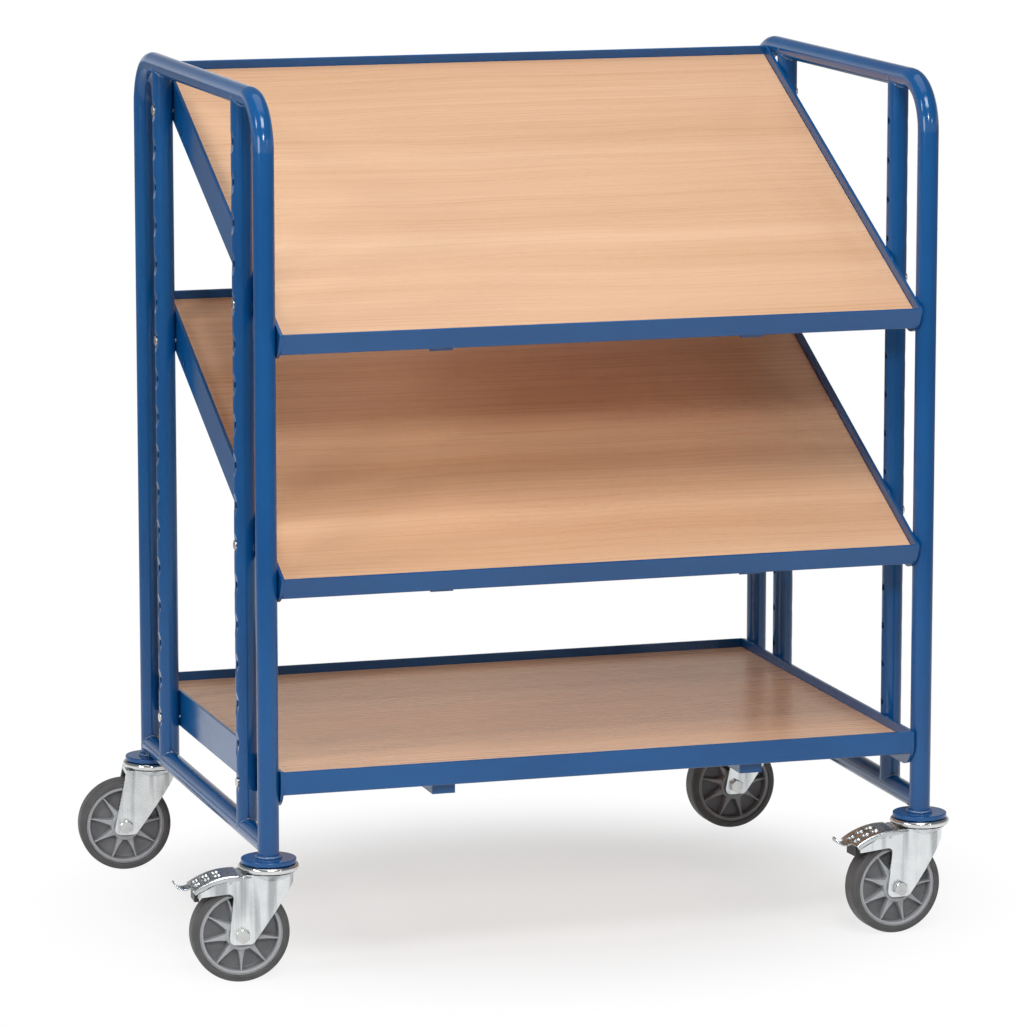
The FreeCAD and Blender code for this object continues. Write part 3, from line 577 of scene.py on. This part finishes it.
tyre_section = tyre_outline()
for corner in CORNERS:
    bm = bmesh.new()
    turned(bm, tyre_section, 144)
    mesh = as_mesh(bm, corner + "_tyre_skin", math.radians(50))
    mesh.transform(at_axle(corner))
    piece(corner + "_tyre_skin", mesh, corner + "_wheel", tyre_grey, "tyre_grey", corner + "_tyre")

# %% [markdown]
# ## Wheel rims
# The rim is one moulding: a hub with a bearing cover, a thin web, an outer ring, and nine ribs that
# thin out towards the ring. The round parts are turned. A rib is drawn once, and a Geometry Nodes
# tree repeats it round the axle, so the number of ribs is one input and the mesh is made by a rule
# instead of by hand.

# %% The tree that repeats a rib


def node_tree(name, inputs, output):
    """A Geometry Nodes tree with named inputs and one output, and its input sockets."""
    tree = bpy.data.node_groups.new(name, "GeometryNodeTree")
    for label, kind in inputs.items():
        tree.interface.new_socket(label, in_out="INPUT", socket_type="NodeSocket" + kind)
    tree.interface.new_socket(output, in_out="OUTPUT", socket_type="NodeSocketGeometry")
    return tree, wire(tree, "NodeGroupInput").outputs


def instance(tree, sockets, finish, smooth=False):
    """Sets instances on points, makes them real, sets their material and hands them out."""
    made = wire(tree, "GeometryNodeInstanceOnPoints", sockets).outputs[0]
    made = wire(tree, "GeometryNodeRealizeInstances", {"Geometry": made}).outputs[0]
    if smooth:
        made = wire(tree, "GeometryNodeSetShadeSmooth", {0: made}).outputs[0]
    made = wire(tree, "GeometryNodeSetMaterial", {"Geometry": made, "Material": finish}).outputs[0]
    wire(tree, "NodeGroupOutput", {0: made})
    print("tree", tree.name, len(tree.nodes), "nodes")


def evaluated(source):
    """The mesh of an object after its modifiers. The object itself is removed."""
    bpy.context.view_layer.update()
    made = bpy.data.meshes.new_from_object(source.evaluated_get(bpy.context.evaluated_depsgraph_get()))
    bpy.data.objects.remove(source)
    return made


def grow(mesh, tree, values):
    """Runs a tree on a mesh, with its inputs set by name, and returns the result as a plain mesh."""
    seed = bpy.data.objects.new("seed", mesh)
    scene.collection.objects.link(seed)
    modifier = seed.modifiers.new("grow", "NODES")
    modifier.node_group = tree
    for item in tree.interface.items_tree:
        if item.in_out == "INPUT" and item.name in values:
            modifier[item.identifier] = values[item.name]
    return evaluated(seed)


rib_inputs = {"Rib": "Geometry", "Count": "Int", "Finish": "Material"}
ribs_tree, given = node_tree("ribs_round_axle", rib_inputs, "Ribs")
points = wire(ribs_tree, "GeometryNodePoints", {"Count": given["Count"]}).outputs[0]
share_of_turn = wire(ribs_tree, "ShaderNodeMath", {0: 2 * math.pi, 1: given["Count"]},
                     {"operation": "DIVIDE"}).outputs[0]
index = wire(ribs_tree, "GeometryNodeInputIndex").outputs[0]
angle = wire(ribs_tree, "ShaderNodeMath", {0: index, 1: share_of_turn}, {"operation": "MULTIPLY"})
euler = wire(ribs_tree, "ShaderNodeCombineXYZ", {"Y": angle.outputs[0]})
turn = wire(ribs_tree, "FunctionNodeEulerToRotation", {0: euler.outputs[0]})
instance(ribs_tree, {"Points": points, "Instance": given["Rib"], "Rotation": turn.outputs[0]},
         given["Finish"])

# %% [markdown]
# ## The rims themselves
# A rib is lofted through a few sections between hub and ring, widest in the middle, where it grows
# out of the web. The turned section is drawn for one side and mirrored for the other. Each wheel
# stopped at its own angle when the photograph was taken, so each rim gets its own turn.

# %% Rims
rib_turns = {"front_left": 0.0, "front_right": 13.5, "rear_left": 18.0, "rear_right": 16.0}
rib_count = 9
# The painted highlight on a rim starts this far from its middle plane and grows over this span, in mm.
raised_start, raised_span = 8.0, 5.5


def one_rib():
    """A rib that hangs down from the hub through the web, thick at the hub and thin at the ring."""
    start_r, length = 18.5, 31.0
    thin, swell, swell_power, web_share = 0.95, 3.5, 2.2, 1.6
    hub_depth, depth_loss = 16.6, 4.0
    stations = 7
    bm = bmesh.new()
    rows = []
    for k in range(stations):
        t = k / (stations - 1)
        radius = (start_r + length * t) * MM
        width = (thin + swell * (1 - t) ** swell_power) * MM
        depth = (hub_depth - depth_loss * t) * MM
        bend = min(width * 0.9, 1.1 * MM)
        section = soft_outline([(-width, -depth, bend), (width, -depth, bend), (width * web_share, 0, 0),
                                (width, depth, bend), (-width, depth, bend), (-width * web_share, 0, 0)], 4)
        rows.append([bm.verts.new((x, y, -radius)) for x, y in section])
    for first, second in zip(rows, rows[1:]):
        for j in range(len(first)):
            bm.faces.new((first[j], first[j - 1], second[j - 1], second[j]))
    bm.faces.new(rows[0])
    bm.faces.new(rows[-1])
    return as_mesh(bm, "one_rib")


def rim_section():
    """Section of hub, web and ring, drawn round from the bore, in corners of (radius, side, bend)."""
    side = [(7.58, -18.5, 0.5), (10.5, -18.5, 0.4), (10.8, -17.4, 0.4), (15.6, -17.4, 0.4),
            (15.9, -18.5, 0.4), (20.0, -18.5, 1.3), (20.8, -3.4, 2.4), (46.6, -2.6, 3.0),
            (48.2, -14.6, 0.9), (51.0, -14.6, 0.8), (51.4, -13.8, 0.2), (53.0, -13.8, 0.2)]
    corners = side + [(r, -y, bend) for r, y, bend in reversed(side)]
    return soft_outline([(r * MM, y * MM, bend * MM) for r, y, bend in corners], 4)


def mark_raised(mesh):
    """Stores how far each point of a rim stands out, 0 on the web and 1 on the ribs' edges, for a painted
    highlight.
    """
    raised = mesh.attributes.new("raised", "FLOAT", "POINT")
    for point, mark in zip(mesh.vertices, raised.data):
        mark.value = min(1.0, max(0.0, (abs(point.co.y) / MM - raised_start) / raised_span))


ribs = grow(one_rib(), ribs_tree, {"Count": rib_count, "Finish": rim_grey})
section = rim_section()
for corner in CORNERS:
    bm = bmesh.new()
    turned(bm, section, 120)
    bm.from_mesh(ribs)
    mesh = as_mesh(bm, corner + "_rim_moulding")
    mark_raised(mesh)
    mesh.transform(at_axle(corner) @ Matrix.Rotation(-math.radians(rib_turns[corner]), 4, "Y"))
    piece(corner + "_rim_moulding", mesh, corner + "_wheel", rim_grey, "rim_grey", corner + "_rim")

# %% [markdown]
# ## Axle bolts
# Each wheel runs on a sleeve clamped by a hexagon bolt and a lock nut. A real bolt head is
# chamfered, so its top is round and its corners drop away. The height of the chamfer depends only
# on the distance from the axis, so the head is made ring by ring: at each angle the hexagon gives
# the radius, and the chamfer gives the height there.

# %% Axle bolts


def hex_block(bm, across_flats, low, high):
    """A hexagon along Y with a chamfered end, from a flat base at low to its top at high."""
    count, chamfer, top_share = 60, math.radians(30), 0.94
    flat = across_flats / 2
    round_top = flat * top_share
    direction = 1 if high > low else -1
    rings = [[], [], []]
    for k in range(count):
        angle = 2 * math.pi * k / count
        within = (angle + math.pi / 6) % (math.pi / 3) - math.pi / 6
        radius = flat / math.cos(within)
        drop = (radius - round_top) * math.tan(chamfer)
        cos, sin = math.cos(angle), math.sin(angle)
        rings[0].append(bm.verts.new((radius * cos, low, radius * sin)))
        rings[1].append(bm.verts.new((radius * cos, high - direction * drop, radius * sin)))
        rings[2].append(bm.verts.new((round_top * cos, high, round_top * sin)))
    for lower, upper in zip(rings, rings[1:]):
        for k in range(count):
            bm.faces.new((lower[k], lower[k - 1], upper[k - 1], upper[k]))
    bm.faces.new(rings[0])
    bm.faces.new(rings[2])


def bar(bm, inner, outer, low, high, edge, steps):
    """A round bar or sleeve along Y, with its edge rounded at the high end."""
    turned(bm, soft_outline([(inner, low, 0), (outer, low, 0), (outer, high, edge), (inner, high, 0)]),
           steps)


def axle_bolt():
    """Bolt, washers, sleeve and lock nut about Y, with the head on the negative side."""
    cheek, across_flats, hex_base = 23.0 * MM, 16.6 * MM, 0.7 * MM
    head_h, nut_h, collar_h, shank_h = 6.4 * MM, 6.6 * MM, 8.0 * MM, 11 * MM
    washer_r, washer_t, collar_r, collar_start = 8.4 * MM, 0.8 * MM, 6.9 * MM, 28.5 * MM
    shank_r, sleeve_bore, sleeve_r, sleeve_end = 5 * MM, 5.05 * MM, 7.5 * MM, 19.95 * MM
    bm = bmesh.new()
    hex_block(bm, across_flats, -cheek - hex_base, -cheek - head_h)
    hex_block(bm, across_flats, cheek + hex_base, cheek + nut_h)
    for face in (-1, 1):
        bar(bm, 0, washer_r, face * cheek, face * (cheek + washer_t), 0.3 * MM, 48)
    bar(bm, 0, collar_r, collar_start, cheek + collar_h, 0.9 * MM, 48)
    bar(bm, 0, shank_r, -cheek, cheek + shank_h, 0.8 * MM, 40)
    bar(bm, sleeve_bore, sleeve_r, -sleeve_end, sleeve_end, 0, 40)
    return bm


for corner in CORNERS:
    mesh = as_mesh(axle_bolt(), corner + "_axle_bolt", math.radians(28))
    mesh.transform(at_axle(corner))
    piece(corner + "_axle_bolt", mesh, corner + "_caster", bolt_steel, "fastener_steel", corner + "_axle")

# %% [markdown]
# ## Brake pedals
# A pedal is pressed from one sheet: a curved plate with both long sides folded down, two pointed
# arms that reach forward along the fork, and a curled tongue for the toe. The sheet is drawn as a
# strip that follows an arc over the wheel, and a Solidify modifier gives it the sheet's thickness.
# Sizes are millimetres, measured from the swivel axis and from the floor.

# %% Pedal sheet
pedal_points = [(-41.0, 140.3), (-78.0, 135.0), (-101.0, 123.2)]
pedal_half_width, pedal_t, pedal_edge = 25.5, 1.8, 0.35
pedal_arm = [(-42.0, 138.0), (-26.0, 137.5), (-26.0, 136.4), (-42.0, 133.3)]


def circle_through(a, b, c):
    """Centre and radius of the circle through three points."""
    (ax, ay), (bx, by), (cx, cy) = a, b, c
    a2, b2, c2 = ax**2 + ay**2, bx**2 + by**2, cx**2 + cy**2
    d = 2 * (ax * (by - cy) + bx * (cy - ay) + cx * (ay - by))
    x = (a2 * (by - cy) + b2 * (cy - ay) + c2 * (ay - by)) / d
    y = (a2 * (cx - bx) + b2 * (ax - cx) + c2 * (bx - ax)) / d
    return (x, y), math.hypot(ax - x, ay - y)


(arc_x, arc_z), arc_r = circle_through(*pedal_points)
arc_start = math.atan2(pedal_points[0][1] - arc_z, pedal_points[0][0] - arc_x)
arc_end = math.atan2(pedal_points[2][1] - arc_z, pedal_points[2][0] - arc_x)


def on_arc(angle, drop, y):
    """A point of the pedal, some millimetres below its curved top."""
    radius = arc_r - drop
    return Vector((arc_x + radius * math.cos(angle), y, arc_z + radius * math.sin(angle))) * MM


def strip(bm, rows):
    """Faces between rows of points."""
    made = [[bm.verts.new(point) for point in row] for row in rows]
    for first, second in zip(made, made[1:]):
        for k in range(len(first) - 1):
            bm.faces.new((first[k], first[k + 1], second[k + 1], second[k]))


def folded_plate(bm):
    """The curved plate with both its long sides folded down."""
    fold, fold_steps, flange, steps = 2.6, 5, 7.0, 26
    half = pedal_half_width
    across = [(half, flange), (half, fold + 2)]
    for k in range(fold_steps + 1):
        turn = math.pi / 2 * k / fold_steps
        across.append((half - fold + fold * math.cos(turn), fold - fold * math.sin(turn)))
    across += [(half - 8, 0), (8, 0), (0, 0)]
    across += [(-y, drop) for y, drop in reversed(across[:-1])]
    angles = [arc_start + (arc_end - arc_start) * k / steps for k in range(steps + 1)]
    strip(bm, [[on_arc(angle, drop, y) for y, drop in across] for angle in angles])


def curled_tongue(bm):
    """The tongue for the toe, curled up at the end of the plate and round at its tip."""
    curl_r, curl, half, steps, columns = 14.0, math.radians(112), 11.5, 18, 4
    centre_x = arc_x + (arc_r + curl_r) * math.cos(arc_end)
    centre_z = arc_z + (arc_r + curl_r) * math.sin(arc_end)
    rows = []
    for k in range(steps + 1):
        t = k / steps
        angle = arc_end + math.pi - curl * t
        width = half * math.sqrt(1 - (0.985 * t) ** 3)
        x, z = centre_x + curl_r * math.cos(angle), centre_z + curl_r * math.sin(angle)
        rows.append([Vector((x, y * width / columns, z)) * MM for y in range(-columns, columns + 1)])
    strip(bm, rows)


def pedal_sheet():
    """The drawn face of the pedal: plate, tongue and the two arms along the fork."""
    bm = bmesh.new()
    folded_plate(bm)
    curled_tongue(bm)
    for side in (-1, 1):
        corners = [bm.verts.new((x * MM, side * pedal_half_width * MM, z * MM)) for x, z in pedal_arm]
        bm.faces.new(corners if side > 0 else corners[::-1])
    return as_mesh(bm, "pedal_sheet")


def solid_sheet(mesh, thickness):
    """A sheet given its thickness below the drawn face, with its edges broken."""
    sheet = bpy.data.objects.new("sheet", mesh)
    scene.collection.objects.link(sheet)
    solid = sheet.modifiers.new("thickness", "SOLIDIFY")
    solid.thickness = thickness
    solid.offset = -1.0
    solid.use_quality_normals = True
    edge = sheet.modifiers.new("edge", "BEVEL")
    edge.width = pedal_edge * MM
    edge.segments = 2
    edge.limit_method = "ANGLE"
    return evaluated(sheet)


plate = solid_sheet(pedal_sheet(), pedal_t * MM)
print("pedal plate", len(plate.polygons), "faces, arc radius", round(arc_r, 1), "mm")

# %% [markdown]
# ## Lugs and ears of the pedals
# Raised lugs keep a shoe from slipping. They repeat along the arc, so a tree sets them on points,
# and an attribute called turn, stored on those points, lays each lug on the curve. Two ears under
# the plate carry the pin that the pedal turns on. Only the front casters have a brake.

# %% Pedal lugs and the finished pedals
lug_size = {"Length": 6.6 * MM, "Width": 4.0 * MM, "Height": 2.8 * MM}
lugs_per_side, first_lug, lug_pitch, lug_side = 3, 8.5, 14.0, 9.0
lug_sink, lug_slant = 0.2, math.radians(-24)

lug_inputs = {"Points": "Geometry", "Length": "Float", "Width": "Float", "Height": "Float",
              "Finish": "Material"}
lugs_tree, given = node_tree("lugs_on_points", lug_inputs, "Lugs")
dome = wire(lugs_tree, "GeometryNodeMeshUVSphere", {"Segments": 24, "Rings": 10, "Radius": 1.0})
size = wire(lugs_tree, "ShaderNodeCombineXYZ",
            {"X": given["Length"], "Y": given["Width"], "Z": given["Height"]})
stored = wire(lugs_tree, "GeometryNodeInputNamedAttribute", {"Name": "turn"}, {"data_type": "FLOAT_VECTOR"})
turn = wire(lugs_tree, "FunctionNodeEulerToRotation", {0: stored.outputs[0]})
instance(lugs_tree, {"Points": given["Points"], "Instance": dome.outputs[0], "Rotation": turn.outputs[0],
                     "Scale": size.outputs[0]}, given["Finish"])


def lug_points():
    """Points on the pedal's top, each with the turn that lays a slanted lug on it."""
    places, turns = [], []
    onward = math.copysign(1, arc_end - arc_start)
    for side in (-1, 1):
        for k in range(lugs_per_side):
            angle = arc_end - onward * (first_lug + lug_pitch * k) / arc_r
            places.append(on_arc(angle, lug_sink, side * lug_side))
            turns.append((0, math.pi / 2 - angle, lug_slant))
    mesh = bpy.data.meshes.new("lug_points")
    mesh.from_pydata(places, [], [])
    turn = mesh.attributes.new("turn", "FLOAT_VECTOR", "POINT")
    turn.data.foreach_set("vector", [value for row in turns for value in row])
    return mesh


def pivot_ears(bm):
    """Two ears under the pedal with the hole for its pin."""
    pivot_x, pivot_z, ear_r, ear_top = -52.0, 131.5, 4.6, 137.2
    hole_r, hole_start, steps = 2.55, -2.2, 20
    shape = []
    for k in range(steps + 1):
        angle = math.pi + math.pi * k / steps
        shape.append((pivot_x + ear_r * math.cos(angle), pivot_z + ear_r * math.sin(angle)))
    shape += [(pivot_x + ear_r, ear_top), (pivot_x - ear_r, ear_top)]
    hole = []
    for k in range(len(shape)):
        angle = 2 * math.pi * k / len(shape) + hole_start
        hole.append((pivot_x + hole_r * math.cos(angle), pivot_z + hole_r * math.sin(angle)))
    for inner, outer in ((16.5, 19.5), (-19.5, -16.5)):
        rings = [[bm.verts.new((x * MM, y * MM, z * MM)) for x, z in ring]
                 for y, ring in ((inner, hole), (inner, shape), (outer, shape), (outer, hole))]
        for first, second in zip(rings, rings[1:] + rings[:1]):
            for k in range(len(first)):
                bm.faces.new((first[k], first[k - 1], second[k - 1], second[k]))


lugs = grow(lug_points(), lugs_tree, {**lug_size, "Finish": pedal_zinc})
for corner in CORNERS[:2]:
    bm = bmesh.new()
    bm.from_mesh(plate)
    bm.from_mesh(lugs)
    pivot_ears(bm)
    mesh = as_mesh(bm, corner + "_pressed_pedal", math.radians(35))
    mesh.transform(under_leg(corner))
    piece(corner + "_pressed_pedal", mesh, corner + "_brake", pedal_zinc, "zinc", corner + "_pedal")

# %% [markdown]
# ## Weld beads
# The tubes are welded where they meet, and each weld is a row of small overlapping scallops under
# the paint. A tree walks along each path, lays a scallop every two or three millimetres, faces it
# along the path, and changes its size a little at random from a fixed seed.

# %% The tree that lays scallops along paths
weld_inputs = {"Paths": "Geometry", "Pitch": "Float", "Radius": "Float", "Seed": "Int",
               "Finish": "Material"}
weld_tree, given = node_tree("scallops_along_paths", weld_inputs, "Beads")
curves = wire(weld_tree, "GeometryNodeMeshToCurve", {"Mesh": given["Paths"]}).outputs[0]
even = wire(weld_tree, "GeometryNodeResampleCurve", {"Curve": curves, "Length": given["Pitch"]},
            {"mode": "LENGTH"})
tangent = wire(weld_tree, "GeometryNodeInputTangent").outputs[0]
facing = wire(weld_tree, "FunctionNodeAlignRotationToVector", {"Vector": tangent}, {"axis": "Z"})
scallop = wire(weld_tree, "GeometryNodeMeshUVSphere",
               {"Segments": 10, "Rings": 6, "Radius": given["Radius"]})
chance = wire(weld_tree, "FunctionNodeRandomValue", {"Seed": given["Seed"]}, {"data_type": "FLOAT"})
size = between(weld_tree, chance.outputs[1], 0.82, 1.12, 0, 1)
instance(weld_tree, {"Points": even.outputs[0], "Instance": scallop.outputs[0],
                     "Rotation": facing.outputs[0], "Scale": size}, given["Finish"], smooth=True)

# %% [markdown]
# ## Where the welds run
# The path of a weld follows from the tubes: two equal tubes at right angles meet in a saddle, whose
# height is the radius times the sine of the angle round the tube. The places come from the boxes of
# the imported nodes. Paint pools on a weld, so its finish is the blue one with a clear coat that
# sparkles.

# %% Weld paths and beads
tube_r = 26.9 / 2 * MM
path_steps = 72
saddle_reach, saddle_side = tube_r + 0.4 * MM, tube_r - 1.1 * MM
foot_reach, foot_lift = tube_r + 0.8 * MM, 1.2 * MM
UP, BACK = Vector((0, 0, 1)), Vector((0, 1, 0))
turns = [2 * math.pi * k / path_steps for k in range(path_steps)]


def middle_of(node):
    """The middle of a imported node's box."""
    low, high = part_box(node)
    return (Vector(low) + Vector(high)) / 2


def saddle(centre, along, up, flip=1):
    """The closed path where a tube meets an equal one. It sinks in where their sides run level."""
    side = along.cross(up)
    path = []
    for angle in turns:
        height = saddle_reach * abs(math.sin(angle))
        path.append(centre + saddle_side * side * math.cos(angle) + saddle_reach * up * math.sin(angle)
                    + flip * along * height)
    return path


def ring(centre, radius):
    """A level closed path."""
    return [centre + radius * Vector((math.cos(angle), math.sin(angle), 0)) for angle in turns]


def path_mesh(paths):
    """Closed paths as a mesh of edges."""
    points, edges = [], []
    for path in paths:
        start = len(points)
        points += path
        edges += [(start + k, start + (k + 1) % len(path)) for k in range(len(path))]
    mesh = bpy.data.meshes.new("weld_paths")
    mesh.from_pydata(points, edges, [])
    return mesh


tube_paths, foot_paths = [], []
hoop_top = cad_box[1][2] - tube_r
for corner in CORNERS:
    depth, side = corner.split("_")
    disc = middle_of(corner + "_foot_disc")
    disc_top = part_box(corner + "_foot_disc")[1][2]
    foot_paths.append(ring(Vector((disc.x, disc.y, disc_top + foot_lift)), foot_reach))
    post = middle_of(corner + "_post")
    rail = middle_of(side + "_bottom_rail")
    tube_paths.append(saddle(Vector((post.x, post.y, rail.z)), UP, BACK))
    tube_paths.append(saddle(Vector((post.x, post.y, hoop_top)), UP, BACK, -1))
    inward = 1 if depth == "front" else -1
    tube_paths.append(saddle(Vector((disc.x, disc.y, rail.z)), BACK, UP, inward))

pooled = blue_paint.copy()
pooled.name = "blue_paint_on_welds"
coat = pooled.node_tree.nodes["Principled BSDF"].inputs
coat["Coat Weight"].default_value = 1.0
coat["Coat Roughness"].default_value = 0.06
coat["Coat IOR"].default_value = 1.9
welds = {"tube_welds": (tube_paths, 1.9, 1.7), "foot_welds": (foot_paths, 2.9, 2.9)}
for name, (paths, pitch, radius) in welds.items():
    beads = grow(path_mesh(paths), weld_tree,
                 {"Pitch": pitch * MM, "Radius": radius * MM, "Seed": 7, "Finish": pooled})
    beads.name = name
    piece(name, beads, "frame", pooled, "blue_paint")
